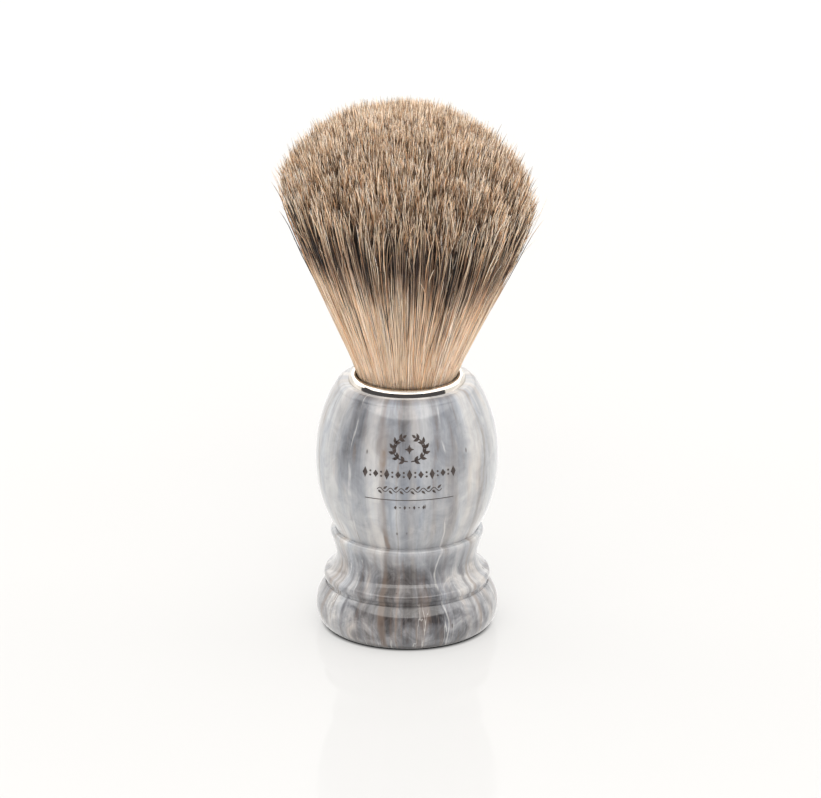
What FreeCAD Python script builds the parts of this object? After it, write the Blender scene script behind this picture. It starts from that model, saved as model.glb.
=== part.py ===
import FreeCAD, Part
import math
import os

# A shaving brush, in millimetres. Z is the turning axis and z = 0 is the
# surface the brush stands on. Every profile is written as (radius, height).

# Main heights
LIP_Z = 19.6            # widest height of the lip under the barrel
HANDLE_TOP = 51.0       # flat top of the handle, under the collar's rim
COLLAR_CREST = 52.34    # highest line of the collar ring

# Socket in the handle, and the disc of glue on its floor
SOCKET_R = 10.60
SOCKET_FLOOR = 37.5
SOCKET_CHAMFER = 0.4
BED_R = 10.55

# Collar ring: low rim with a sleeve down into the socket
SLEEVE_OUT_R = 10.55
SLEEVE_IN_R = 9.95
BED_TOP = 38.3          # top of the adhesive bed, where sleeve and cup rest
RIM_WALL = [(11.60, HANDLE_TOP), (11.50, 51.39), (11.37, 51.78)]
RIM_SLOPE = [(11.37, 51.78), (11.22, 52.01), (11.04, 52.21)]
RIM_TOP = [(11.04, 52.21), (10.55, COLLAR_CREST), (10.12, 52.20)]
RIM_MOUTH = [(10.12, 52.20), (10.0, 52.08), (SLEEVE_IN_R, 51.90)]

# Knot cup and plug
CUP_OUT_R = 9.92
CUP_IN_R = 9.00
CUP_FLOOR = 39.3
CUP_TOP = 48.0
CUP_BEVEL = 0.5
PLUG_R = 8.98
PLUG_TOP = 47.8
BUTT_R = 8.20           # hair butt inside the plug
BUTT_Z = 42.0
BUTT_GAP = 0.02

# Binding cord: three turns side by side
CORD_R = 0.35
CORD_TURNS = 3
CORD_OVERLAP = 0.94     # each turn sinks a little into the one below
CORD_Z = 48.9           # height of the lowest turn's centre
TIED_R = 8.60           # hair radius under the cord
TIED_LOW = 48.3
TIED_HIGH = 50.65

# The hair bends about this point, on the axis at the height of the collar's rim
PIVOT_Z = 52.2
SPLIT_R = 16.0          # ball-shaped end of the fixed root
SPLIT_GAP = 0.3         # clearance under the moving tuft

# Dome of hair tips: a ball set a little off the axis, so one side is higher
DOME_R = 28.5
DOME_X = -1.5
DOME_Z = 79.6
DOME_EDGE_R = 3.0       # rounding where the dome meets the side
DOME_EDGE_LOW = 85.0    # the edge to round lies above this height
DOME_EDGE_WIDE = 40.0   # and is wider than this

# Outer line of the handle, from the base up
FOOT = [(15.3, 0.0), (16.75, 0.8), (17.65, 2.3), (18.0, 4.3), (17.75, 6.1),
        (17.05, 7.7), (16.2, 8.95)]
GROOVE_R = 15.85
GROOVE_TOP = 9.75
BEAD = [(16.2, 9.85), (16.42, 10.6), (16.05, 11.35)]
COVE = [(16.05, 11.35), (14.95, 12.15), (14.2, 13.4), (13.95, 14.8), (14.15, 16.2),
        (14.6, 17.8), (15.0, 19.1)]
LIP = [(15.0, 19.1), (15.08, LIP_Z), (14.8, 20.15)]
LIP_INNER = (14.2, 20.3)
NECK = (13.95, 20.25)
BARREL = [(14.05, 20.45), (15.2, 22.6), (16.3, 25.1), (17.2, 28.1), (17.8, 31.2),
          (18.0, 35.0), (17.88, 38.0), (17.45, 41.0), (16.68, 44.0), (15.78, 46.5),
          (14.85, 48.5), (14.05, 49.85)]
SHOULDER = [(14.05, 49.85), (13.45, 50.65), (12.7, HANDLE_TOP)]

# Outer line of the hair, from the cord up to the widest part
HAIR_SIDE = [(9.45, 51.1), (9.85, 51.9), (10.1, 52.6), (10.9, 54.9), (12.1, 57.5),
             (14.9, 62.6), (17.6, 67.6), (20.3, 72.6), (22.5, 77.6), (24.2, 82.6),
             (25.15, 88.0), (25.3, 94.0), (25.3, 99.0)]
HAIR_TOP = 112.0        # above the dome, which trims it
BLOCK = 80.0            # side of the block that keeps what is above the pivot


def point(rz):
    """A profile point as a vector in the XZ plane."""
    return FreeCAD.Vector(rz[0], 0, rz[1])


def line(a, b):
    """A straight edge between two profile points."""
    return Part.makeLine(point(a), point(b))


def arc(points):
    """A circular arc through three profile points."""
    return Part.Arc(*[point(p) for p in points]).toShape()


def curve(points):
    """A smooth curve through all the profile points."""
    spline = Part.BSplineCurve()
    spline.interpolate([point(p) for p in points])
    return spline.toShape()


def revolve(edges):
    """The solid made by turning a closed outline about Z."""
    face = Part.Face(Part.Wire(edges))
    return face.revolve(FreeCAD.Vector(0, 0, 0), FreeCAD.Vector(0, 0, 1), 360)


def lathe(points):
    """The solid made by turning a closed outline of straight edges about Z."""
    ends = points[1:] + points[:1]
    return revolve([line(a, b) for a, b in zip(points, ends)])


def ball(radius, x, z):
    """A ball whose centre lies in the XZ plane."""
    return Part.makeSphere(radius, FreeCAD.Vector(x, 0, z))


def handle():
    """The turned handle with its blind socket."""
    edges = [
        line((0, 0), FOOT[0]),
        curve(FOOT),
        line(FOOT[-1], (GROOVE_R, FOOT[-1][1])),
        line((GROOVE_R, FOOT[-1][1]), (GROOVE_R, GROOVE_TOP)),
        line((GROOVE_R, GROOVE_TOP), BEAD[0]),
        arc(BEAD),
        curve(COVE),
        arc(LIP),
        line(LIP[-1], LIP_INNER),
        line(LIP_INNER, NECK),
        line(NECK, BARREL[0]),
        curve(BARREL),
        arc(SHOULDER),
        line(SHOULDER[-1], (SOCKET_R + SOCKET_CHAMFER, HANDLE_TOP)),
        line((SOCKET_R + SOCKET_CHAMFER, HANDLE_TOP), (SOCKET_R, HANDLE_TOP - SOCKET_CHAMFER)),
        line((SOCKET_R, HANDLE_TOP - SOCKET_CHAMFER), (SOCKET_R, SOCKET_FLOOR)),
        line((SOCKET_R, SOCKET_FLOOR), (0, SOCKET_FLOOR)),
        line((0, SOCKET_FLOOR), (0, 0)),
    ]
    return revolve(edges)


def collar_ring():
    """The ferrule: a low rim on the handle's top and a sleeve in the socket."""
    edges = [
        line((SLEEVE_IN_R, BED_TOP), (SLEEVE_OUT_R, BED_TOP)),
        line((SLEEVE_OUT_R, BED_TOP), (SLEEVE_OUT_R, HANDLE_TOP)),
        line((SLEEVE_OUT_R, HANDLE_TOP), RIM_WALL[0]),
        arc(RIM_WALL),
        arc(RIM_SLOPE),
        arc(RIM_TOP),
        arc(RIM_MOUTH),
        line(RIM_MOUTH[-1], (SLEEVE_IN_R, BED_TOP)),
    ]
    return revolve(edges)


def knot_cup():
    """The cup that holds the set root of the knot."""
    return lathe([(0, BED_TOP), (CUP_OUT_R - CUP_BEVEL, BED_TOP), (CUP_OUT_R, BED_TOP + CUP_BEVEL),
                  (CUP_OUT_R, CUP_TOP), (CUP_IN_R, CUP_TOP), (CUP_IN_R, CUP_FLOOR),
                  (0, CUP_FLOOR)])


def knot_plug():
    """The cast resin round and under the butt of the hair."""
    wall = BUTT_R + BUTT_GAP
    return lathe([(0, CUP_FLOOR), (PLUG_R, CUP_FLOOR), (PLUG_R, PLUG_TOP),
                  (wall, PLUG_TOP), (wall, BUTT_Z), (0, BUTT_Z)])


def binding_cord():
    """Three turns of cord lying side by side round the hair."""
    centre_r = TIED_R + CORD_R
    pitch = 2 * CORD_R * CORD_OVERLAP
    centre = FreeCAD.Vector(0, 0, CORD_Z)
    up = FreeCAD.Vector(0, 0, 1)
    cord = Part.makeTorus(centre_r, CORD_R, centre, up)
    for turn in range(1, CORD_TURNS):
        cord = cord.fuse(Part.makeTorus(centre_r, CORD_R, centre + up * (turn * pitch), up))
    return cord


def adhesive_bed():
    """The disc of glue on the socket's floor."""
    return lathe([(0, SOCKET_FLOOR), (BED_R, SOCKET_FLOOR), (BED_R, BED_TOP), (0, BED_TOP)])


def hair_bundle():
    """All the hair as one solid, from its butt in the plug to the dome of tips."""
    edges = [
        line((0, BUTT_Z), (BUTT_R, BUTT_Z)),
        line((BUTT_R, BUTT_Z), (BUTT_R, PLUG_TOP)),
        line((BUTT_R, PLUG_TOP), (TIED_R, TIED_LOW)),
        line((TIED_R, TIED_LOW), (TIED_R, TIED_HIGH)),
        line((TIED_R, TIED_HIGH), HAIR_SIDE[0]),
        curve(HAIR_SIDE),
        line(HAIR_SIDE[-1], (HAIR_SIDE[-1][0], HAIR_TOP)),
        line((HAIR_SIDE[-1][0], HAIR_TOP), (0, HAIR_TOP)),
        line((0, HAIR_TOP), (0, BUTT_Z)),
    ]
    return revolve(edges)


def rounded_dome(tuft):
    """The tuft with the edge between its side and its dome rounded."""
    rim = [e for e in tuft.Edges
           if e.BoundBox.ZMin > DOME_EDGE_LOW and e.BoundBox.XLength > DOME_EDGE_WIDE]
    return tuft.makeFillet(DOME_EDGE_R, rim)


def hair_pieces():
    """The fixed root, which ends in a ball, and the tuft that moves round it."""
    bundle = hair_bundle()
    root = bundle.common(ball(SPLIT_R, 0, PIVOT_Z))
    crown = bundle.common(ball(DOME_R, DOME_X, DOME_Z))
    above = Part.makeBox(BLOCK, BLOCK, BLOCK, FreeCAD.Vector(-BLOCK / 2, -BLOCK / 2, PIVOT_Z))
    tuft = rounded_dome(crown.common(above)).cut(ball(SPLIT_R + SPLIT_GAP, 0, PIVOT_Z))
    return root, tuft


def export(shape, name):
    """Write one sub-part as a STEP file."""
    solids = shape.Solids
    if len(solids) != 1 or not solids[0].isValid():
        raise ValueError(name + " isn't one valid solid")
    solids[0].exportStep(os.path.join("parts", name + ".step"))


os.makedirs("parts", exist_ok=True)
hair_root, hair_tuft = hair_pieces()
export(handle(), "handle")
export(collar_ring(), "collar_ring")
export(knot_cup(), "knot_cup")
export(knot_plug(), "knot_plug")
export(binding_cord(), "binding_cord")
export(adhesive_bed(), "adhesive_bed")
export(hair_root, "hair_root")
export(hair_tuft, "hair_tuft")
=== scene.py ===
"""A shaving brush: a turned, stone-marbled resin handle, a polished collar and a fan of badger hair.

Lengths are in metres. Sizes written as a number times MM are in millimetres."""

import math

import bpy
import numpy as np
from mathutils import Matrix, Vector
from mathutils.bvhtree import BVHTree
from mathutils.kdtree import KDTree


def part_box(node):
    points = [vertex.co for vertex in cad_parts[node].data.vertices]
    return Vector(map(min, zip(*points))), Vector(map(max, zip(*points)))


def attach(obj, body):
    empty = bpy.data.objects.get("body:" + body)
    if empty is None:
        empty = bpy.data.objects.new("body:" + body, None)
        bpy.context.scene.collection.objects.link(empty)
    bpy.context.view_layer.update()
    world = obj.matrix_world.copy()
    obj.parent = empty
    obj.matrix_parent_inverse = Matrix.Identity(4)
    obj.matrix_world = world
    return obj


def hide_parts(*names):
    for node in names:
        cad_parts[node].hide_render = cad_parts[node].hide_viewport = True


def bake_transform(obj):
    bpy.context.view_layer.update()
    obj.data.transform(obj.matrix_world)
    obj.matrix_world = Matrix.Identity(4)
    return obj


MM = 0.001

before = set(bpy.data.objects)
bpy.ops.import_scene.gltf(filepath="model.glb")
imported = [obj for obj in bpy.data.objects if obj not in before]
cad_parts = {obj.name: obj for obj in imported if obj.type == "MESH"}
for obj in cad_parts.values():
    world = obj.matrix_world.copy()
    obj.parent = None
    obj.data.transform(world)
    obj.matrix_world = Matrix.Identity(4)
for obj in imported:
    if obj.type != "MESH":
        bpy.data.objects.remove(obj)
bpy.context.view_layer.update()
scene = bpy.context.scene

HANDLE_BODY = "handle_body"

# Places read from the frame
handle_low, handle_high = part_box("handle")
_, collar_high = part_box("collar_ring")
tuft_low, tuft_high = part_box("hair_tuft")
COLLAR_Z = collar_high[2]
HAIR_TOP_Z = tuft_high[2]
FOOT_R = (handle_high[0] - handle_low[0]) / 2
HAIR_WIDE_R = (tuft_high[0] - tuft_low[0]) / 2


# ---------------------------------------------------------------- node helper

class Graph:
    """Adds nodes to a node tree and joins them up."""

    def __init__(self, tree):
        self.tree = tree
        tree.nodes.clear()

    def add(self, kind, inputs=None, **settings):
        """A new node, with its settings made and its inputs set or linked."""
        node = self.tree.nodes.new(kind)
        for key, value in settings.items():
            setattr(node, key, value)
        for key, value in (inputs or {}).items():
            self.feed(node.inputs[key], value)
        return node

    def feed(self, socket, value):
        """Link a socket to another, or set its value."""
        if isinstance(value, bpy.types.NodeSocket):
            self.tree.links.new(value, socket)
        else:
            socket.default_value = value

    def math(self, operation, a, b=0.0, clamp=False):
        """One sum."""
        node = self.add("ShaderNodeMath", {0: a, 1: b}, operation=operation, use_clamp=clamp)
        return node.outputs[0]

    def plus(self, a, b):
        """a + b"""
        return self.math("ADD", a, b)

    def minus(self, a, b):
        """a - b"""
        return self.math("SUBTRACT", a, b)

    def times(self, a, b, clamp=False):
        """a * b, kept between 0 and 1 if clamp is set"""
        return self.math("MULTIPLY", a, b, clamp)

    def length(self, x, y):
        """How far a place is from the z axis."""
        return self.math("SQRT", self.plus(self.times(x, x), self.times(y, y)))

    def smooth(self, value, low, high):
        """0 below low, 1 above high, and smooth between."""
        inputs = {"Value": value, "From Min": low, "From Max": high}
        node = self.add("ShaderNodeMapRange", inputs, interpolation_type="SMOOTHSTEP")
        return node.outputs["Result"]

    def scaled(self, vector, scale, shift=(0, 0, 0)):
        """A vector stretched along each axis and shifted."""
        inputs = {"Vector": vector, "Scale": scale, "Location": shift}
        return self.add("ShaderNodeMapping", inputs).outputs["Vector"]

    def noise(self, vector, scale=1.0, detail=3.0, roughness=0.5, distortion=0.0):
        """Cloudy noise from 0 to 1, around 0.5."""
        inputs = {"Vector": vector, "Scale": scale, "Detail": detail,
                  "Roughness": roughness, "Distortion": distortion}
        return self.add("ShaderNodeTexNoise", inputs).outputs["Fac"]

    def ramp(self, fac, stops, interpolation="LINEAR"):
        """A colour ramp. Each stop is a position with a colour or a grey."""
        node = self.add("ShaderNodeValToRGB", {"Fac": fac})
        ramp = node.color_ramp
        ramp.interpolation = interpolation
        while len(ramp.elements) < len(stops):
            ramp.elements.new(0.5)
        for element, (place, colour) in zip(ramp.elements, stops):
            element.position = place
            grey = isinstance(colour, (int, float))
            element.color = (colour,) * 3 + (1,) if grey else (*colour, 1)
        return node.outputs["Color"]

    def mix(self, fac, a, b, blend="MIX"):
        """A mix of two colours."""
        inputs = {0: fac, 6: a, 7: b}
        node = self.add("ShaderNodeMix", inputs, data_type="RGBA", blend_type=blend)
        return node.outputs[2]

    def bump(self, shader, height, strength, distance):
        """Roughen a shader's surface."""
        node = self.add("ShaderNodeBump", {"Height": height, "Strength": strength, "Distance": distance})
        self.feed(shader.inputs["Normal"], node.outputs[0])


def new_material(name, **plain):
    """A material with a Principled shader. plain sets the shader's own sockets."""
    material = bpy.data.materials.new(name)
    material.use_nodes = True
    graph = Graph(material.node_tree)
    sockets = {key.replace("_", " "): value for key, value in plain.items()}
    shader = graph.add("ShaderNodeBsdfPrincipled", sockets)
    graph.add("ShaderNodeOutputMaterial", {"Surface": shader.outputs[0]})
    return material, graph, shader


def paint(piece, material):
    """Give a piece one material."""
    piece.data.materials.clear()
    piece.data.materials.append(material)


# ---------------------------------------------------------------------- resin

STREAK_R = 16 * MM      # the resin's streaks are sized for a handle of this radius
FRONT = 0.5             # bearings round the handle run from 0 to 1, and this one is the front
SEAM_BROWN = (0.17, 0.13, 0.105)
SEAM_DARK = (0.060, 0.046, 0.042)
SEAM_WHITE = (0.66, 0.64, 0.61)
SEAM_CREAM = (0.60, 0.545, 0.49)
# Seams: degrees from the front and degrees wide, strength, colour. Later ones lie over earlier ones.
SEAMS = [
    (-25, 6.0, 0.38, SEAM_CREAM), (6, 5.0, 0.26, SEAM_CREAM), (47, 6.0, 0.30, SEAM_CREAM),
    (104, 7.0, 0.40, SEAM_CREAM), (-104, 6.0, 0.40, SEAM_CREAM), (174, 7.0, 0.40, SEAM_CREAM),
    (-19, 3.8, 0.95, SEAM_BROWN), (-8, 1.4, 0.55, SEAM_BROWN), (28, 0.9, 0.34, SEAM_WHITE),
    (-38, 1.0, 0.30, SEAM_WHITE), (58, 2.6, 0.60, SEAM_BROWN), (81, 1.0, 0.34, SEAM_WHITE),
    (-72, 2.4, 0.60, SEAM_BROWN), (118, 3.2, 0.65, SEAM_BROWN), (-121, 1.0, 0.34, SEAM_WHITE),
    (147, 1.0, 0.34, SEAM_WHITE), (-158, 2.8, 0.65, SEAM_BROWN), (-19, 3.0, 0.80, SEAM_DARK),
    (9, 3.0, 0.60, SEAM_DARK), (18, 1.6, 0.45, SEAM_DARK), (-47, 3.0, 0.55, SEAM_DARK),
    (52, 2.6, 0.50, SEAM_DARK), (98, 3.0, 0.60, SEAM_DARK), (-104, 3.0, 0.60, SEAM_DARK),
    (150, 2.6, 0.55, SEAM_DARK), (-145, 3.0, 0.55, SEAM_DARK),
]
# The main streaks' tones at bearings round the handle, in its lower part and in its upper part
LOW_STREAKS = [
    (0.00, 0.50), (0.05, 0.36), (0.10, 0.58), (0.16, 0.42), (0.22, 0.62), (0.28, 0.52),
    (0.32, 0.60), (0.35, 0.66), (0.385, 0.56), (0.41, 0.46), (0.432, 0.56), (0.455, 0.42),
    (0.475, 0.52), (0.495, 0.42), (0.515, 0.40), (0.535, 0.52), (0.56, 0.42), (0.59, 0.46),
    (0.625, 0.58), (0.66, 0.52), (0.70, 0.62), (0.76, 0.42), (0.82, 0.62), (0.88, 0.44),
    (0.94, 0.60), (1.00, 0.50),
]
HIGH_STREAKS = [
    (0.00, 0.46), (0.06, 0.58), (0.12, 0.40), (0.18, 0.60), (0.24, 0.44), (0.285, 0.50),
    (0.325, 0.62), (0.355, 0.50), (0.378, 0.24), (0.402, 0.26), (0.422, 0.46), (0.445, 0.44),
    (0.468, 0.40), (0.492, 0.26), (0.512, 0.30), (0.535, 0.50), (0.56, 0.38), (0.595, 0.42),
    (0.63, 0.58), (0.67, 0.52), (0.70, 0.60), (0.76, 0.44), (0.83, 0.60), (0.89, 0.40),
    (0.95, 0.56), (1.00, 0.46),
]
# The resin's colour for each tone
STONE = [
    (0.10, (0.036, 0.034, 0.036)),
    (0.26, (0.105, 0.108, 0.119)),
    (0.40, (0.205, 0.213, 0.231)),
    (0.54, (0.330, 0.334, 0.342)),
    (0.70, (0.510, 0.502, 0.492)),
    (0.90, (0.720, 0.700, 0.670)),
]
WARM = (1.0, 0.90, 0.81, 1)
COOL = (0.86, 0.92, 1.0, 1)
FOOT_TINT = (0.985, 0.955, 0.925, 1)
BROWN = (0.135, 0.100, 0.082, 1)
VEIN = (0.80, 0.78, 0.74, 1)
SPECK = (0.055, 0.042, 0.038, 1)


class Resin:
    """The layers of the marbled resin, which share one set of places."""

    def __init__(self, g):
        self.g = g
        self.place = g.add("ShaderNodeTexCoord").outputs["Object"]
        x, y, self.z = g.add("ShaderNodeSeparateXYZ", {0: self.place}).outputs

        # A direction from the axis and a height, so that a streak keeps its bearing all the way up.
        out = g.math("MAXIMUM", g.length(x, y), 0.1 * MM)
        way_x = g.math("DIVIDE", x, out)
        way_y = g.math("DIVIDE", y, out)
        rise = g.math("DIVIDE", self.z, STREAK_R)
        self.bearing = g.add("ShaderNodeCombineXYZ", {0: way_x, 1: way_y, 2: rise}).outputs[0]
        self.foot = self.below(12, 20)

        # The bearing as a fraction of a turn. It wavers as it rises, and with it all that follows it.
        self.waver = self.streaky((1.1, 1.1, 0.45), detail=2.0)
        flutter = self.streaky((5, 5, 1.4), (2, 0, 5), detail=3.0)
        turn = g.math("DIVIDE", g.math("ARCTAN2", x, g.times(y, -1.0)), 2 * math.pi)
        turn = g.plus(turn, FRONT)
        turn = g.plus(turn, g.times(g.minus(self.waver, 0.5), 0.07))
        self.turn = g.plus(turn, g.times(g.minus(flutter, 0.5), 0.035))

    def streaky(self, scale, shift=(0, 0, 0), **noise):
        """Noise laid out by bearing and height."""
        return self.g.noise(self.g.scaled(self.bearing, scale, shift), **noise)

    def above(self, low, high):
        """1 above a height and 0 below a lower one, in millimetres."""
        return self.g.smooth(self.z, low * MM, high * MM)

    def below(self, low, high):
        """1 below a height and 0 above a higher one, in millimetres."""
        return self.g.minus(1.0, self.above(low, high))

    def tone(self):
        """How light the resin is, before its colours."""
        g = self.g
        lift = g.smooth(g.plus(self.z, g.times(self.waver, 8 * MM)), 32 * MM, 46 * MM)
        low = g.ramp(self.turn, LOW_STREAKS, "EASE")
        high = g.ramp(self.turn, HIGH_STREAKS, "EASE")
        main = g.plus(g.times(low, g.minus(1.0, lift)), g.times(high, lift))

        # Narrower streaks, fibres and soft blotches break the main streaks up, above all in the foot.
        streaks = self.streaky((6.5, 6.5, 1.0), (3, 1, 7), detail=3.0, roughness=0.5, distortion=0.4)
        fibres = self.streaky((38, 38, 3.0), (5, 2, 1), detail=3.0, roughness=0.6)
        blotches = self.streaky((4.5, 4.5, 4.0), (8, 3, 4), detail=5.0, roughness=0.62, distortion=0.9)
        busy = g.plus(1.0, g.times(self.foot, 0.9))
        cloudy = g.plus(0.31, g.times(self.foot, 0.47))
        tone = g.times(main, 0.84)
        layers = ((streaks, g.times(busy, 0.22)), (fibres, g.times(busy, 0.10)), (blotches, cloudy))
        for layer, amount in layers:
            tone = g.plus(tone, g.times(g.minus(layer, 0.5), amount))
        tone = g.plus(tone, 0.072)

        # Parts of the handle are darker: the foot and the waist, and the edge that it stands on, which is a
        # painted contact shadow.
        waist = g.minus(self.above(13, 15.5), self.above(17.5, 20))
        base = self.below(9, 11)
        # Painted shadow: the lowest 1.4 millimetres are darkened, most of all at the very bottom, where the
        # foot meets the floor.
        painted_contact_shadow = self.below(0.2, 1.4)
        for part, darker in ((self.foot, 0.065), (waist, 0.08), (base, 0.085), (painted_contact_shadow, 0.42)):
            tone = g.minus(tone, g.times(part, darker))

        # The waist and the bead get a painted shade at the front, where they are darkest.
        front = g.math("ABSOLUTE", g.minus(self.turn, FRONT))
        front = g.minus(1.0, g.smooth(front, 0.045, 0.085))
        painted_shade_band = g.minus(self.above(5, 8), self.above(15, 17.5))
        return g.minus(tone, g.times(g.times(front, painted_shade_band), 0.17))

    def stone(self):
        """The grey of the resin, a little warm in some streaks and blue in others."""
        g = self.g
        colour = g.ramp(self.tone(), STONE)
        warmth = self.streaky((4.2, 4.2, 0.7), (6, 2, 8), detail=3.0, roughness=0.55, distortion=0.3)
        colour = g.mix(g.times(g.smooth(warmth, 0.50, 0.66), 0.65), colour, WARM, "MULTIPLY")
        colour = g.mix(g.times(g.smooth(warmth, 0.48, 0.34), 0.60), colour, COOL, "MULTIPLY")
        return g.mix(self.foot, colour, FOOT_TINT, "MULTIPLY")

    def browns(self, colour):
        """Brown streaks, more of them in the foot."""
        g = self.g
        browns = self.streaky((9, 9, 1.0), (11, 4, 9), detail=5.0, roughness=0.6, distortion=0.5)
        start = g.minus(0.61, g.times(self.foot, 0.075))
        brown = g.times(g.minus(browns, start), 8.0, clamp=True)
        return g.mix(g.times(brown, 0.62), colour, BROWN)

    def seams(self, colour):
        """Thin seams that run up the handle, each one fading in and out."""
        g = self.g
        fade = g.smooth(self.streaky((3, 3, 2.4), (1, 7, 5), detail=3.0), 0.46, 0.62)
        mostly = g.plus(0.45, g.times(fade, 0.55))
        # The dark seams show in the waist and the foot alone, where the brown ones are hardly
        # broken and the cream ones are faint.
        shown = {
            SEAM_WHITE: fade,
            SEAM_CREAM: g.times(mostly, g.minus(1.0, g.times(self.foot, 0.8))),
            SEAM_BROWN: g.math("MAXIMUM", mostly, g.times(self.foot, 0.95)),
            SEAM_DARK: g.times(self.foot, g.plus(0.60, g.times(fade, 0.40))),
        }
        for angle, width, strength, tint in SEAMS:
            gap = g.math("ABSOLUTE", g.minus(self.turn, angle / 360 + FRONT))
            seam = g.minus(1.0, g.smooth(gap, 0.15 * width / 360, width / 360))
            seam = g.times(g.times(seam, shown[tint]), strength)
            colour = g.mix(seam, colour, (*tint, 1))
        return colour

    def veins(self, colour):
        """A few white veins along the edges of another set of streaks, most of them low down."""
        g = self.g
        edges = self.streaky((3.4, 3.4, 0.55), (5, 1, 6), detail=4.0, roughness=0.6, distortion=0.25)
        vein = g.math("ABSOLUTE", g.minus(edges, 0.52))
        vein = g.minus(1.0, g.smooth(vein, 0.001, 0.009))
        where = g.smooth(self.streaky((2.6, 2.6, 1.6), (9, 9, 2), detail=2.0), 0.50, 0.62)
        low = g.minus(1.0, g.times(self.above(18, 26), 0.85))
        vein = g.times(g.times(vein, where), low)
        return g.mix(g.times(vein, 0.28), colour, VEIN)

    def specks(self, colour):
        """A few dark specks, longer than they are wide."""
        g = self.g
        grid = g.scaled(self.place, (520, 520, 200))
        cells = g.add("ShaderNodeTexVoronoi", {"Vector": grid, "Scale": 1.0})
        speck = g.minus(1.0, g.smooth(cells.outputs["Distance"], 0.05, 0.15))
        rare = g.add("ShaderNodeSeparateXYZ", {0: cells.outputs["Color"]}).outputs[0]
        often = g.minus(0.84, g.times(self.foot, 0.22))
        speck = g.times(speck, g.math("GREATER_THAN", rare, often))
        return g.mix(g.times(speck, 0.7), colour, SPECK)


def marbled_resin():
    """Polished cast resin: soft grey streaks that run up it, with seams, pale veins and dark specks."""
    material, g, shader = new_material("marbled_resin", IOR=1.5, Sheen_Weight=0.40, Sheen_Roughness=0.40)
    resin = Resin(g)
    colour = resin.browns(resin.stone())
    colour = resin.veins(resin.seams(colour))
    g.feed(shader.inputs["Base Color"], resin.specks(colour))
    haze = g.noise(g.scaled(resin.place, (90, 90, 90)), detail=2.0)
    g.feed(shader.inputs["Roughness"], g.plus(0.03, g.times(haze, 0.04)))
    ripple = g.noise(g.scaled(resin.place, (120, 120, 900)), detail=2.0)
    g.bump(shader, ripple, 0.03, 0.02 * MM)
    return material


# ------------------------------------------------------------ other materials

def polished_metal():
    """Polished nickel with a faint haze and very fine turning lines."""
    material, g, shader = new_material("polished_metal", Metallic=1.0)
    place = g.add("ShaderNodeTexCoord").outputs["Object"]
    haze = g.noise(g.scaled(place, (400, 400, 400)), detail=4.0)
    nickel = g.ramp(haze, [(0.3, (0.64, 0.585, 0.52)), (0.7, (0.70, 0.65, 0.59))])
    g.feed(shader.inputs["Base Color"], nickel)
    g.feed(shader.inputs["Roughness"], g.plus(0.02, g.times(haze, 0.07)))
    lines = g.noise(g.scaled(place, (40, 40, 9000)), detail=2.0)
    g.bump(shader, lines, 0.06, 0.01 * MM)
    return material


def mottled(name, dark, light, grain, roughness, stretch=(1, 1, 1)):
    """A plain stuff with a little mottling, for the pieces inside the socket. grain is spots to a metre."""
    material, g, shader = new_material(name)
    place = g.add("ShaderNodeTexCoord").outputs["Object"]
    scale = tuple(grain * s for s in stretch)
    spots = g.noise(g.scaled(place, scale), detail=4.0)
    g.feed(shader.inputs["Base Color"], g.ramp(spots, [(0.3, dark), (0.7, light)]))
    g.feed(shader.inputs["Roughness"], g.plus(roughness, g.times(spots, 0.1)))
    g.bump(shader, spots, 0.2, 0.1 * MM)
    return material


# Hair colours come from the UV layer: U picks a kind of hair, and V is 1 at
# the tip and falls to 0 this far down the hair.
HAIR_V_LENGTH = 64 * MM
HAIR_UV = "OFBake"
TONES = 8               # from fully banded to nearly white hair
BANDINGS = 8            # how far down the dark band sits
HAIR_KINDS = TONES * BANDINGS
BAND_SHIFT = 1.0        # millimetres from one banding to the next
RAMP_LENGTH = 60.0      # millimetres of hair that the colours below cover, from the tip at 0
# The last stop of this ramp is painted shade: the hair is darker where it goes down into the collar.
BANDED_HAIR = [
    (0.00, (0.71, 0.495, 0.330)),
    (0.030, (0.48, 0.298, 0.172)),
    (0.062, (0.17, 0.100, 0.064)),
    (0.100, (0.054, 0.034, 0.027)),
    (0.210, (0.058, 0.036, 0.029)),
    (0.264, (0.52, 0.343, 0.231)),
    (0.335, (0.96, 0.71, 0.50)),
    (0.82, (0.96, 0.70, 0.49)),
    (0.93, (0.60, 0.39, 0.23)),
]
# Its last stop, too, is painted shade where the hair goes into the collar.
PALE_HAIR = [
    (0.00, (0.93, 0.80, 0.67)),
    (0.08, (0.76, 0.575, 0.405)),
    (0.16, (0.42, 0.280, 0.190)),
    (0.22, (0.46, 0.310, 0.212)),
    (0.335, (0.99, 0.80, 0.64)),
    (0.82, (0.99, 0.79, 0.62)),
    (0.93, (0.66, 0.45, 0.29)),
]
GINGER_BANDING = 3.0    # the hairs with this banding are ginger


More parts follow.
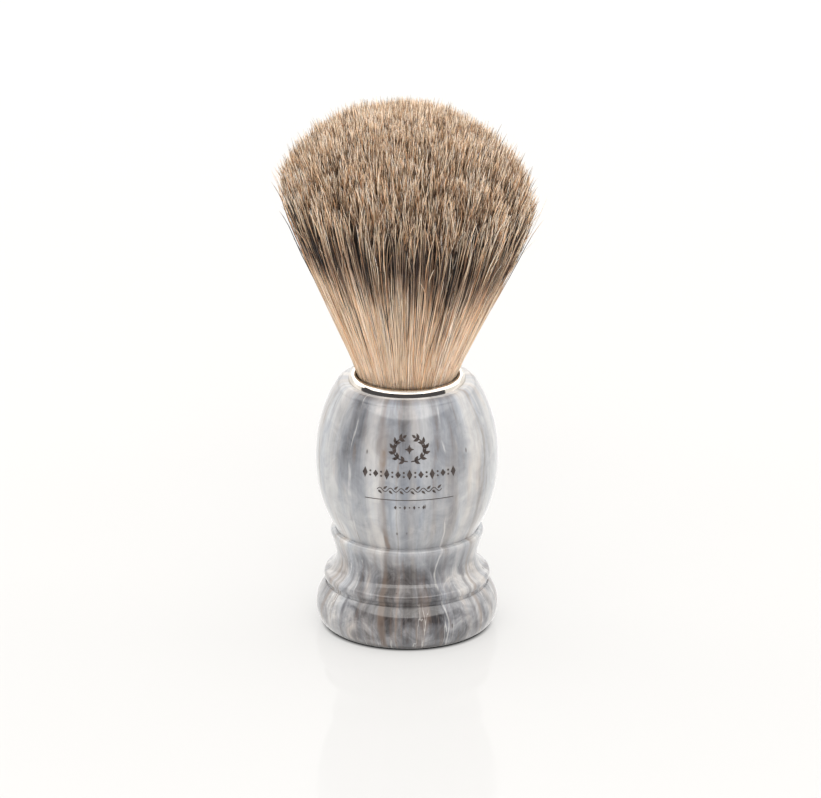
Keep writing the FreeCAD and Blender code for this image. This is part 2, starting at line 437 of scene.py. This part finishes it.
def badger_hair():
    """Cream at the root but with painted shade where it goes into the collar, then a dark band, then a tan
    tip, with pale hairs among them.
    """
    material, g, shader = new_material("badger_hair", IOR=1.5, Subsurface_Weight=0.28,
                                       Subsurface_Radius=(1.0, 0.72, 0.5), Subsurface_Scale=0.25 * MM)
    uv = g.add("ShaderNodeUVMap", uv_map=HAIR_UV).outputs[0]
    u, v, _ = g.add("ShaderNodeSeparateXYZ", {0: uv}).outputs
    kind = g.math("FLOOR", g.times(u, HAIR_KINDS))
    tone = g.math("FLOOR", g.math("DIVIDE", kind, BANDINGS))
    banding = g.minus(kind, g.times(tone, BANDINGS))
    depth = g.times(g.minus(1.0, v), HAIR_V_LENGTH / MM)
    shift = g.times(g.minus(banding, (BANDINGS - 1) / 2), BAND_SHIFT)
    along = g.math("DIVIDE", g.plus(depth, shift), RAMP_LENGTH, clamp=True)
    lightness = g.math("DIVIDE", tone, TONES - 1)
    paleness = g.smooth(lightness, 0.55, 1.0)
    colour = g.mix(paleness, g.ramp(along, BANDED_HAIR), g.ramp(along, PALE_HAIR))

    # Dark hairs are dark from the band to the tip, and less so at the root and at the very tip, where a
    # painted glow stands for light shining through the thin tips.
    shade = g.smooth(lightness, -0.18, 0.62)
    at_root = g.times(g.smooth(along, 0.24, 0.35), 0.74)
    # Painted glow: the last 2.5 millimetres of every hair are kept lighter.
    painted_tip_glow = g.times(g.minus(1.0, g.smooth(depth, 0.5, 2.5)), 0.36)
    shade = g.math("MAXIMUM", shade, g.math("MAXIMUM", at_root, painted_tip_glow))
    grey = g.add("ShaderNodeCombineXYZ", {0: shade, 1: shade, 2: shade}).outputs[0]
    colour = g.mix(1.0, colour, grey, "MULTIPLY")
    ginger = g.times(g.math("COMPARE", banding, GINGER_BANDING), 0.45)
    colour = g.mix(ginger, colour, (1.0, 0.62, 0.34, 1), "MULTIPLY")
    g.feed(shader.inputs["Base Color"], colour)
    g.feed(shader.inputs["Roughness"], g.plus(0.30, g.times(paleness, 0.15)))
    return material


def printed_ink():
    """Dark brown ink, a little worn."""
    material, g, shader = new_material("printed_ink", IOR=1.5)
    place = g.add("ShaderNodeTexCoord").outputs["Object"]
    wear = g.noise(g.scaled(place, (900, 900, 900)), detail=4.0, roughness=0.7)
    ink = g.ramp(wear, [(0.35, (0.022, 0.015, 0.013)), (0.75, (0.065, 0.050, 0.045))])
    g.feed(shader.inputs["Base Color"], ink)
    g.feed(shader.inputs["Roughness"], g.plus(0.2, g.times(wear, 0.2)))
    return material


# ----------------------------------------------------------------------- hair

HAIR_COUNT = 34000
LOCKS = 12              # the hair is kept in this many pieces, by direction
SAMPLES = 11            # points along each hair, closer together towards the tip
SIDES = 3
HAIR_START_Z = COLLAR_Z - 2.5 * MM
HAIR_START_R = 8.95 * MM
HAIR_R = 0.088 * MM
DOME_R = 28.5 * MM      # the ball that the tips lie on
DOME_X = -1.5 * MM
DOME_Z = HAIR_TOP_Z - DOME_R
DOME_LEAST = 4 * MM     # the dome's least height above the ball's middle, before its edge droops
DOME_DROOP = 2.5 * MM   # the dome's edge hangs this far below the ball
LEAN = 0.15 * MM        # the fan leans a little towards +X
CLUMPS = 2200
TUFTS = 330             # neighbouring clumps belong to one tuft
SHORT_SHARE = 0.35      # this share of the hairs ends well below the dome
SHORTEST = 16           # millimetres below the dome for the shortest of them
STRAY_FROM = 0.93       # hairs at least this near the outside may stand away from it
PALE_FROM = 0.965       # and hairs this near it may be pale
RARE = 0.12             # the share of those hairs that do so, or are so
# How thick a hair is, beside its full thickness, at distances from its tip
TAPER_AT = [0, 1.5 * MM, 5 * MM, 12 * MM, 26 * MM, 60 * MM]
TAPER = [0.20, 0.72, 1.0, 1.0, 0.72, 0.42]
U_START, U_WIDE = 0.2, 0.6      # the part of its kind's place in U that a hair's sides cover


def spread(t, leave, arrive):
    """How far out a hair is, from 0 at its root to 1 at its tip, with the slopes at both ends."""
    start = leave * (t ** 3 - 2 * t ** 2 + t)
    end = arrive * (t ** 3 - t ** 2)
    return start + 3 * t ** 2 - 2 * t ** 3 + end


def nearest(points, centres):
    """The number of the nearest centre, for each point."""
    tree = KDTree(len(centres))
    for i, (x, y) in enumerate(centres):
        tree.insert((x, y, 0), i)
    tree.balance()
    return np.array([tree.find((x, y, 0))[1] for x, y in points])


def scattered(rng, count):
    """Places spread evenly over the disc that the tips cover, seen from above."""
    radius = HAIR_WIDE_R * np.sqrt(rng.random(count))
    angle = rng.random(count) * 2 * math.pi
    return np.stack([radius * np.cos(angle), radius * np.sin(angle)], axis=1)


class Knot:
    """The centre line of every hair, and what it belongs to. Every step draws from the same rng."""

    def __init__(self, rng):
        self.rng = rng
        # share is 0 for a hair on the axis and 1 for one at the outside.
        self.share = np.sqrt(self.random())
        self.angle = self.random() * 2 * math.pi
        self.place_tips()
        self.lay_flow()
        self.wander()
        self.lean_ends()
        self.let_stray()

    def random(self, *shape):
        """A number from 0 to 1 for each hair."""
        return self.rng.random((HAIR_COUNT, *shape))

    def normal(self, size, *shape):
        """A number around 0 for each hair, usually within size."""
        return self.rng.normal(0, size, (HAIR_COUNT, *shape))

    def shared(self, by_tuft, by_clump, *shape):
        """Numbers around 0 that the hairs of a tuft share, and ones that those of a clump share."""
        of_tufts = self.rng.normal(0, by_tuft, (TUFTS, *shape))[self.tuft]
        return of_tufts, self.rng.normal(0, by_clump, (CLUMPS, *shape))[self.clump]

    def place_tips(self):
        """Put the tips where they are seen from above, each drawn towards the middle of a clump."""
        angle = self.angle + self.normal(0.05)
        # The outline isn't quite round, and the loose hairs leave it a little.
        wide = HAIR_WIDE_R * (0.985 + 0.012 * np.sin(3 * angle) + 0.010 * np.sin(5 * angle))
        loose = self.random() < 0.35
        unlike = np.clip(self.normal(1), -2.5, 1.5) * np.where(loose, 0.030, 0.008)
        radius = self.share * wide * (1 + unlike)
        tips = np.stack([radius * np.cos(angle), radius * np.sin(angle)], axis=1)
        middles = scattered(self.rng, CLUMPS)
        self.clump = nearest(tips, middles)
        self.tuft = nearest(middles, scattered(self.rng, TUFTS))[self.clump]
        pull = self.random(1) * 0.7
        self.tips = tips + (middles[self.clump] - tips) * pull

    def shortfall(self):
        """How far below the dome each hair ends, in millimetres: about 1.5, or more if it is short."""
        of_tuft, of_clump = self.shared(0.35, 0.45)
        missing = 1.5 + of_tuft + of_clump
        missing = np.maximum(missing + self.normal(0.55), 1.0 - 0.8 * self.random())
        short = self.random() < SHORT_SHARE
        return missing + np.where(short, self.random() ** 1.4 * SHORTEST, 0)

    def lay_flow(self):
        """Lead every hair from its root up to the dome, and end it a little short of it."""
        x, y = self.tips.T
        under = np.maximum(DOME_R ** 2 - (x - DOME_X) ** 2 - y ** 2, DOME_LEAST ** 2)
        top = DOME_Z + np.sqrt(under)
        top -= DOME_DROOP * self.share ** 14
        reach = 1 - self.shortfall() * MM / (top - HAIR_START_Z)
        t = (1 - (1 - np.linspace(0, 1, SAMPLES)[None, :]) ** 1.5) * reach[:, None]
        slope = 0.45 + 0.35 * (1 - self.share)
        out = spread(t, 0.86, slope[:, None])
        root = self.share * HAIR_START_R
        root_x = (root * np.cos(self.angle))[:, None]
        root_y = (root * np.sin(self.angle))[:, None]
        px = root_x + (x[:, None] - root_x) * out + LEAN * np.minimum(1, 2.2 * t)
        py = root_y + (y[:, None] - root_y) * out
        pz = HAIR_START_Z + (top[:, None] - HAIR_START_Z) * t
        self.paths = np.stack([px, py, pz], axis=2)
        # t is 1 at the dome, and along is 1 at the hair's own tip.
        self.t = t
        self.along = t / reach[:, None]

    def wander(self):
        """Let each hair stray a little from the flow, and be a little wavy."""
        way = self.random() * 2 * math.pi
        # Hairs near the outside stray less, in millimetres, so that the outline stays clean.
        amount = np.minimum(np.abs(self.normal(0.7)), 1.9 - 0.7 * self.share) * MM
        bow = self.t ** (1.8 + 2.5 * self.random(1)) * amount[:, None]
        wave = 0.18 * MM * np.sin(self.t * (5 + 11 * self.random(1)) + way[:, None] * 3)
        wave = wave * np.minimum(1, 4 * self.t)
        self.paths[:, :, 0] += bow * np.cos(way)[:, None] + wave * np.sin(way)[:, None]
        self.paths[:, :, 1] += bow * np.sin(way)[:, None] - wave * np.cos(way)[:, None]

    def move_ends(self, start, length, moves):
        """Move hairs sideways, from nothing at start to the whole move at the tip, in millimetres."""
        part = np.clip((self.along - start) / length, 0, 1) ** 2
        self.paths[:, :, :2] += part[:, :, None] * moves[:, None, :] * MM

    def lean_ends(self):
        """Lean the ends of each tuft and each clump one way, and bend the last millimetres every way."""
        of_tuft, of_clump = self.shared(0.5, 0.55, 2)
        lean = of_tuft + of_clump
        lean += self.normal(0.6, 2)
        lean *= (1 - 0.55 * self.share ** 3)[:, None]
        self.move_ends(0.55, 0.45, lean)
        self.move_ends(0.84, 0.16, self.normal(0.60, 2))

    def let_stray(self):
        """Let a few hairs of the outside stand away from the rest, and choose the pale ones."""
        self.stray = (self.share > STRAY_FROM) & (self.random() < RARE)
        away = np.where(self.stray, 0.25 + 2.2 * self.random() ** 3, 0) * MM
        late = 1 + 2.5 * self.random(1)
        self.paths[:, :, 0] += self.t ** late * (away * np.cos(self.angle))[:, None]
        self.paths[:, :, 1] += self.t ** late * (away * np.sin(self.angle))[:, None]
        self.pale = self.stray * 1.5 + ((self.share > PALE_FROM) & (self.random() < RARE)) * 0.42

    def alike(self, by_tuft, by_clump, alone):
        """A number for each hair, made of parts drawn for its tuft, for its clump and for itself."""
        number = by_tuft * self.rng.random(TUFTS)[self.tuft] + by_clump * self.rng.random(CLUMPS)[self.clump]
        return number + alone * self.random()

    def kinds(self):
        """Which kind of hair each one is. Hairs of one clump and of one tuft tend to be alike."""
        tone = self.alike(0.32, 0.28, 1.44) - 0.60 + self.pale
        tone = np.clip((tone * TONES).astype(int), 0, TONES - 1)
        band = self.alike(0.30, 0.25, 0.45)
        band = np.clip((band * BANDINGS).astype(int), 0, BANDINGS - 1)
        return tone * BANDINGS + band

    def girth(self):
        """How thick each hair is, beside HAIR_R."""
        return self.rng.uniform(0.6, 1.3, HAIR_COUNT) * np.where(self.stray, 0.6, 1.0)


def tube_points(paths, from_tip, girth, turn):
    """The corners of a tapered tube round each path, SIDES of them at each of its points."""
    tangent = np.gradient(paths, axis=1)
    tangent /= np.linalg.norm(tangent, axis=2, keepdims=True)
    aside = np.stack([np.cos(turn), np.sin(turn), np.zeros(len(turn))], axis=1)[:, None, :]
    aside = aside - tangent * np.sum(aside * tangent, axis=2, keepdims=True)
    aside /= np.linalg.norm(aside, axis=2, keepdims=True)
    across = np.cross(tangent, aside)
    radius = (HAIR_R * np.interp(from_tip, TAPER_AT, TAPER) * girth[:, None])[:, :, None]
    corners = []
    for side in range(SIDES):
        a = 2 * math.pi * side / SIDES
        corners.append(paths + radius * (math.cos(a) * aside + math.sin(a) * across))
    return np.stack(corners, axis=2)


def tube_sides(kinds, v):
    """The four-cornered faces of the tubes, and the UV of each corner. v has a row for each hair."""
    count, rings = v.shape
    first = (np.arange(count)[:, None] * rings + np.arange(rings - 1)[None, :]) * SIDES
    below, above = v[:, :-1], v[:, 1:]
    quads = []
    uvs = []
    for side in range(SIDES):
        after = (side + 1) % SIDES
        corners = [first + side, first + after, first + SIDES + after, first + SIDES + side]
        quads.append(np.stack(corners, axis=2))
        u_low = (kinds + U_START + U_WIDE * side / SIDES) / HAIR_KINDS
        u_high = (kinds + U_START + U_WIDE * (side + 1) / SIDES) / HAIR_KINDS
        lows = np.repeat(u_low[:, None], rings - 1, axis=1)
        highs = np.repeat(u_high[:, None], rings - 1, axis=1)
        pairs = [(lows, below), (highs, below), (highs, above), (lows, above)]
        uvs.append(np.stack([np.stack(pair, 2) for pair in pairs], axis=2))
    return np.stack(quads, axis=2).reshape(-1, 4), np.stack(uvs, axis=2).reshape(-1, 2)


def tube_ends(kinds, v):
    """The faces that close both ends of each tube, and the UV of each corner."""
    count, rings = v.shape
    start = np.arange(count) * rings * SIDES
    end = start + (rings - 1) * SIDES
    low_caps = np.stack([start + 2, start + 1, start], 1)
    high_caps = np.stack([end, end + 1, end + 2], 1)
    u = np.tile((kinds + 0.5) / HAIR_KINDS, 2)
    ends_v = np.concatenate([v[:, 0], v[:, -1]])
    return np.concatenate([low_caps, high_caps]), np.repeat(np.stack([u, ends_v], 1), SIDES, axis=0)


def hair_mesh(name, paths, kinds, girth, turn):
    """Every hair as a closed, tapered three-sided tube, turned about its own line."""
    length = np.linalg.norm(np.diff(paths, axis=1), axis=2)
    from_tip = np.zeros(paths.shape[:2])
    from_tip[:, :-1] = np.cumsum(length[:, ::-1], axis=1)[:, ::-1]
    v = 1 - from_tip / HAIR_V_LENGTH
    points = tube_points(paths, from_tip, girth, turn)
    quads, quad_uv = tube_sides(kinds, v)
    caps, cap_uv = tube_ends(kinds, v)

    mesh = bpy.data.meshes.new(name)
    mesh.vertices.add(points.size // 3)
    mesh.vertices.foreach_set("co", points.astype(np.float32).ravel())
    corners = np.concatenate([quads.ravel(), caps.ravel()])
    sizes = np.concatenate([np.full(len(quads), 4), np.full(len(caps), SIDES)])
    mesh.loops.add(len(corners))
    mesh.loops.foreach_set("vertex_index", corners.astype(np.int32))
    mesh.polygons.add(len(sizes))
    mesh.polygons.foreach_set("loop_start", np.concatenate([[0], np.cumsum(sizes)[:-1]]).astype(np.int32))
    mesh.update(calc_edges=True)
    mesh.polygons.foreach_set("use_smooth", np.ones(len(sizes), bool))
    layer = mesh.uv_layers.new(name=HAIR_UV)
    layer.data.foreach_set("uv", np.concatenate([quad_uv, cap_uv]).astype(np.float32).ravel())
    return mesh


def make_hair():
    """The whole knot of hair, in locks that reach from the handle to the tuft."""
    rng = np.random.default_rng(7)
    knot = Knot(rng)
    kinds = knot.kinds()
    girth = knot.girth()
    lock = np.floor(knot.angle / (2 * math.pi) * LOCKS).astype(int)
    material = badger_hair()
    for i in range(LOCKS):
        name = f"hair_lock_{i + 1:02d}"
        mine = lock == i
        turn = rng.random(np.count_nonzero(mine)) * 2 * math.pi
        mesh = hair_mesh(name, knot.paths[mine], kinds[mine], girth[mine], turn)
        piece = bpy.data.objects.new(name, mesh)
        scene.collection.objects.link(piece)
        paint(piece, material)
        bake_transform(piece)
        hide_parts("hair_root", "hair_tuft")


# ------------------------------------------------------------------- ornament

INK_OUT = 0.035 * MM    # the ink stands this far out of the resin
INK_IN = 0.02 * MM      # and goes this far in, so that no gap shows
INK_R = 17.6 * MM       # the barrel's radius where the ornament is laid out
INK_SHIFT = 0.5 * MM    # the ornament sits a little to the +X side
INK_STEP = 0.35 * MM    # longest step between points, so that it follows the barrel
INK_THINNEST = 0.02     # a stroke's least width in millimetres, where it comes to a point


class Ornament:
    """Flat strokes laid on the barrel. A place is (sideways, height) in millimetres."""

    def __init__(self, surface):
        self.surface = surface
        self.points = []
        self.faces = []

    def laid(self, side, height, offset):
        """A place on the barrel, moved out along its normal."""
        turn = (side * MM + INK_SHIFT) / INK_R
        way = Vector((math.sin(turn), -math.cos(turn), 0))
        start = way * 2 * INK_R + Vector((0, 0, height * MM))
        hit, normal, _, _ = self.surface.ray_cast(start, -way)
        return hit + normal * offset

    def stroke(self, line, widths):
        """A closed, flat strip along a line, as wide as widths says at each of its points."""
        line = [Vector(p) for p in line]
        spine = [(line[0], widths[0])]
        for a, b, width_a, width_b in zip(line, line[1:], widths, widths[1:]):
            steps = max(1, math.ceil((b - a).length * MM / INK_STEP))
            for k in range(1, steps + 1):
                f = k / steps
                spine.append((a.lerp(b, f), width_a * (1 - f) + width_b * f))
        first = len(self.points)
        for i, (p, width) in enumerate(spine):
            along = spine[min(i + 1, len(spine) - 1)][0] - spine[max(i - 1, 0)][0]
            aside = Vector((-along.y, along.x)).normalized() * max(width, INK_THINNEST) / 2
            for q in (p - aside, p + aside):
                for offset in (-INK_IN, INK_OUT):
                    self.points.append(self.laid(q.x, q.y, offset))
        # Each cross-section is: low inner, low outer, high inner, high outer.
        ring = (0, 1, 3, 2)
        for i in range(len(spine) - 1):
            a = first + 4 * i
            for k in range(4):
                m, n = ring[k], ring[(k + 1) % 4]
                self.faces.append((a + m, a + n, a + 4 + n, a + 4 + m))
        last = first + 4 * (len(spine) - 1)
        self.faces.append(tuple(first + k for k in reversed(ring)))
        self.faces.append(tuple(last + k for k in ring))

    def dot(self, side, height, across):
        """A round dot."""
        ends = [math.sin(math.radians(a)) for a in range(-90, 91, 20)]
        line = [(side + across / 2 * e, height) for e in ends]
        self.stroke(line, [across * math.sqrt(1 - e * e) for e in ends])

    def lozenge(self, side, height, wide, tall):
        """A diamond."""
        line = [(side - wide / 2, height), (side, height), (side + wide / 2, height)]
        self.stroke(line, [0, tall, 0])

    def leaf(self, side, height, angle, length, wide):
        """A pointed leaf that grows from a place."""
        parts = (0.0, 0.15, 0.35, 0.6, 0.85, 1.0)
        shape = (0.1, 0.7, 1.0, 0.85, 0.35, 0.0)
        way = Vector((math.cos(angle), math.sin(angle))) * length
        self.stroke([Vector((side, height)) + way * f for f in parts], [wide * w for w in shape])


def draw_wreath(ornament, height):
    """Two leafy sprigs curved round a small star."""
    across, tall, stem_width = 3.3, 2.35, 0.24
    lowest, step, places = -84, 12.5, 13
    rays = 8
    angles = [math.radians(lowest + step * k) for k in range(places)]
    for mirror in (-1, 1):
        stem = [(mirror * across * math.cos(a), height + tall * math.sin(a)) for a in angles]
        ornament.stroke(stem, [stem_width] * len(stem))
        for k in range(1, places - 1, 2):
            heading = math.atan2(tall * math.cos(angles[k]), -mirror * across * math.sin(angles[k]))
            for lean in (-0.75, 0.75):
                ornament.leaf(*stem[k], heading + lean, 1.2, 0.62)
        ornament.leaf(*stem[-1], math.radians(90 + mirror * 55), 1.0, 0.55)
    for k in range(rays):
        long = 0.95 if k % 2 == 0 else 0.55
        ornament.leaf(0, height, math.radians(360 / rays * k), long, 0.42)


def draw_lozenges(ornament, height):
    """A row of tall diamonds with pairs of dots between them."""
    pitch, count, dot_rise, dot_width = 2.2, 9, 0.42, 0.42
    for k in range(count):
        side = (k - (count - 1) / 2) * pitch
        ornament.lozenge(side, height, 1.05, 2.2 if k % 2 == 0 else 1.5)
        if k < count - 1:
            ornament.dot(side + pitch / 2, height + dot_rise, dot_width)
            ornament.dot(side + pitch / 2, height - dot_rise, dot_width)


def draw_vine(ornament, height):
    """A thin wavy line with a leaf in each of its bends."""
    waves, wave, tall, steps, line_width = 6, 2.1, 0.42, 8, 0.16
    left = -waves * wave / 2
    line = []
    for k in range(waves * steps + 1):
        turn = 2 * math.pi * k / steps
        line.append((left + wave * k / steps, height + tall * math.sin(turn)))
    ornament.stroke(line, [line_width] * len(line))
    for k in range(2 * waves):
        side = left + wave * (k / 2 + 0.25)
        up = 1 if k % 2 else -1
        ornament.leaf(side - 0.3, height + up * 0.16, math.radians(up * 42), 1.0, 0.46)


def draw_rule(ornament, height):
    """A thin straight line."""
    half, line_width = 8.85, 0.14
    ornament.stroke([(-half, height), (half, height)], [line_width, line_width])


def draw_dots(ornament, height):
    """A short row of dots and small diamonds."""
    pitch, count = 0.92, 7
    for k in range(count):
        side = (k - (count - 1) / 2) * pitch
        if k % 2 == 0:
            ornament.lozenge(side, height, 0.5, 0.9)
        else:
            ornament.dot(side, height, 0.3)


def make_ornament():
    """The printed ornament on the front of the barrel."""
    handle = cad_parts["handle"]
    handle.data.calc_loop_triangles()
    points = [handle.matrix_world @ v.co for v in handle.data.vertices]
    triangles = [t.vertices[:] for t in handle.data.loop_triangles]
    ornament = Ornament(BVHTree.FromPolygons(points, triangles))
    draw_wreath(ornament, height=42.4)
    draw_lozenges(ornament, height=37.4)
    draw_vine(ornament, height=34.2)
    draw_rule(ornament, height=32.1)
    draw_dots(ornament, height=30.5)
    mesh = bpy.data.meshes.new("printed_ornament")
    mesh.from_pydata(ornament.points, [], ornament.faces)
    piece = bpy.data.objects.new("printed_ornament", mesh)
    scene.collection.objects.link(piece)
    paint(piece, printed_ink())
    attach(piece, HANDLE_BODY)


# --------------------------------------------------------------------- studio

FLOOR_WHITE = (0.26, 0.258, 0.254, 1)
FLOOR_PAINTED_SHADOW = (0.03, 0.03, 0.03, 1)
FLOOR_GLOW = (1.0, 0.992, 0.982, 1)
# Light from round the brush, in the order in which make_studio lays it
TENT_LIGHT = (1.15, 1.14, 1.12, 1)
WALL_LIGHT = (2.5, 2.48, 2.44, 1)
ROOM_DARK = (0.10, 0.10, 0.11, 1)
KEY_LIGHT = (4.0, 3.91, 3.79, 1)


def make_camera():
    """A long lens, looking a little down on the brush."""
    target = Vector((0.7 * MM, 0, 46.7 * MM))
    elevation = math.radians(19.8)
    distance = 1.5
    data = bpy.data.cameras.new("camera")
    data.sensor_width = 36.0
    data.lens = 334.5
    data.clip_start = 0.05
    data.clip_end = 20.0
    camera = bpy.data.objects.new("camera", data)
    back = Vector((0, -math.cos(elevation), math.sin(elevation)))
    camera.location = target + back * distance
    camera.rotation_euler = (-back).to_track_quat("-Z", "Y").to_euler()
    scene.collection.objects.link(camera)
    scene.camera = camera


def make_floor():
    """A white floor with a soft gloss, and a painted shadow where the foot stands on it."""
    side = 8.0
    data = bpy.data.meshes.new("floor")
    corners = [(-side, -side, 0), (side, -side, 0), (side, side, 0), (-side, side, 0)]
    data.from_pydata(corners, [], [(0, 1, 2, 3)])
    floor = bpy.data.objects.new("floor", data)
    scene.collection.objects.link(floor)
    material, g, shader = new_material("floor_gloss", Roughness=0.035, IOR=1.07, Emission_Color=FLOOR_GLOW)
    place = g.add("ShaderNodeTexCoord").outputs["Object"]
    x, y, _ = g.add("ShaderNodeSeparateXYZ", {0: place}).outputs
    # Painted shadow: a dark, unlit ring just inside the foot's edge. Outside it the floor is white and glows
    # a little.
    lit = g.smooth(g.length(x, y), FOOT_R - 2.4 * MM, FOOT_R - 0.8 * MM)
    g.feed(shader.inputs["Base Color"], g.mix(lit, FLOOR_PAINTED_SHADOW, FLOOR_WHITE))
    g.feed(shader.inputs["Emission Strength"], g.times(lit, 0.47))
    paint(floor, material)


def make_studio():
    """A white tent lit all round and above, with the dark of the room in front, below the top light."""
    world = bpy.data.worlds.new("studio")
    scene.world = world
    world.use_nodes = True
    g = Graph(world.node_tree)
    direction = g.add("ShaderNodeTexCoord").outputs["Generated"]
    x, y, z = g.add("ShaderNodeSeparateXYZ", {0: direction}).outputs
    # The bearing runs from 0 in front, plus to the right and minus to the left.
    bearing = g.math("ARCTAN2", x, g.times(y, -1.0))
    rise = g.math("ARCSINE", z)

    def between(value, low, high, soft):
        """1 between two angles, in degrees, with soft edges."""
        low, high, soft = math.radians(low), math.radians(high), math.radians(soft)
        inside = g.smooth(value, low - soft, low + soft)
        beyond = g.smooth(value, high - soft, high + soft)
        return g.times(inside, g.minus(1.0, beyond))

    wall = between(rise, 14, 52, 4)
    light = g.mix(wall, TENT_LIGHT, WALL_LIGHT)
    room = g.times(between(bearing, -98, 79, 2), between(rise, -95, 31, 1.5))
    light = g.mix(room, light, ROOM_DARK)
    key = g.times(between(bearing, -54, 54, 2), between(rise, 32, 50, 1))
    light = g.mix(key, light, KEY_LIGHT)
    lit = g.add("ShaderNodeBackground", {"Color": light, "Strength": 1.0})
    white = g.add("ShaderNodeBackground", {"Color": (1, 1, 1, 1), "Strength": 1.0})
    seen = g.add("ShaderNodeLightPath").outputs["Is Camera Ray"]
    both = g.add("ShaderNodeMixShader", {0: seen, 1: lit.outputs[0], 2: white.outputs[0]})
    g.add("ShaderNodeOutputWorld", {"Surface": both.outputs[0]})


def make_fill():
    """A wide, low light in front that softens the shade and shows in no reflection."""
    data = bpy.data.lights.new("fill", "AREA")
    data.shape = "RECTANGLE"
    data.size = 1.3
    data.size_y = 0.8
    data.energy = 20
    data.color = (1.0, 0.985, 0.965)
    fill = bpy.data.objects.new("fill", data)
    fill.location = (0, -1.6, 0.42)
    fill.rotation_euler = (Vector((0, 0, 0.05)) - fill.location).to_track_quat("-Z", "Y").to_euler()
    fill.visible_glossy = False
    scene.collection.objects.link(fill)


# ----------------------------------------------------------------------- make

scene.view_settings.view_transform = "Standard"
make_camera()
make_floor()
make_studio()
make_fill()

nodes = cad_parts
paint(nodes["handle"], marbled_resin())
paint(nodes["collar_ring"], polished_metal())
paint(nodes["knot_cup"], mottled("cup_plastic", (0.012, 0.012, 0.014), (0.02, 0.02, 0.022), 900, 0.4))
paint(nodes["knot_plug"], mottled("knot_resin", (0.32, 0.20, 0.08), (0.45, 0.29, 0.13), 300, 0.15))
paint(nodes["binding_cord"], mottled("cord", (0.55, 0.50, 0.40), (0.75, 0.70, 0.60), 1500, 0.7, (1, 1, 3)))
paint(nodes["adhesive_bed"], mottled("adhesive", (0.55, 0.52, 0.42), (0.68, 0.65, 0.55), 400, 0.3))
make_hair()
make_ornament()
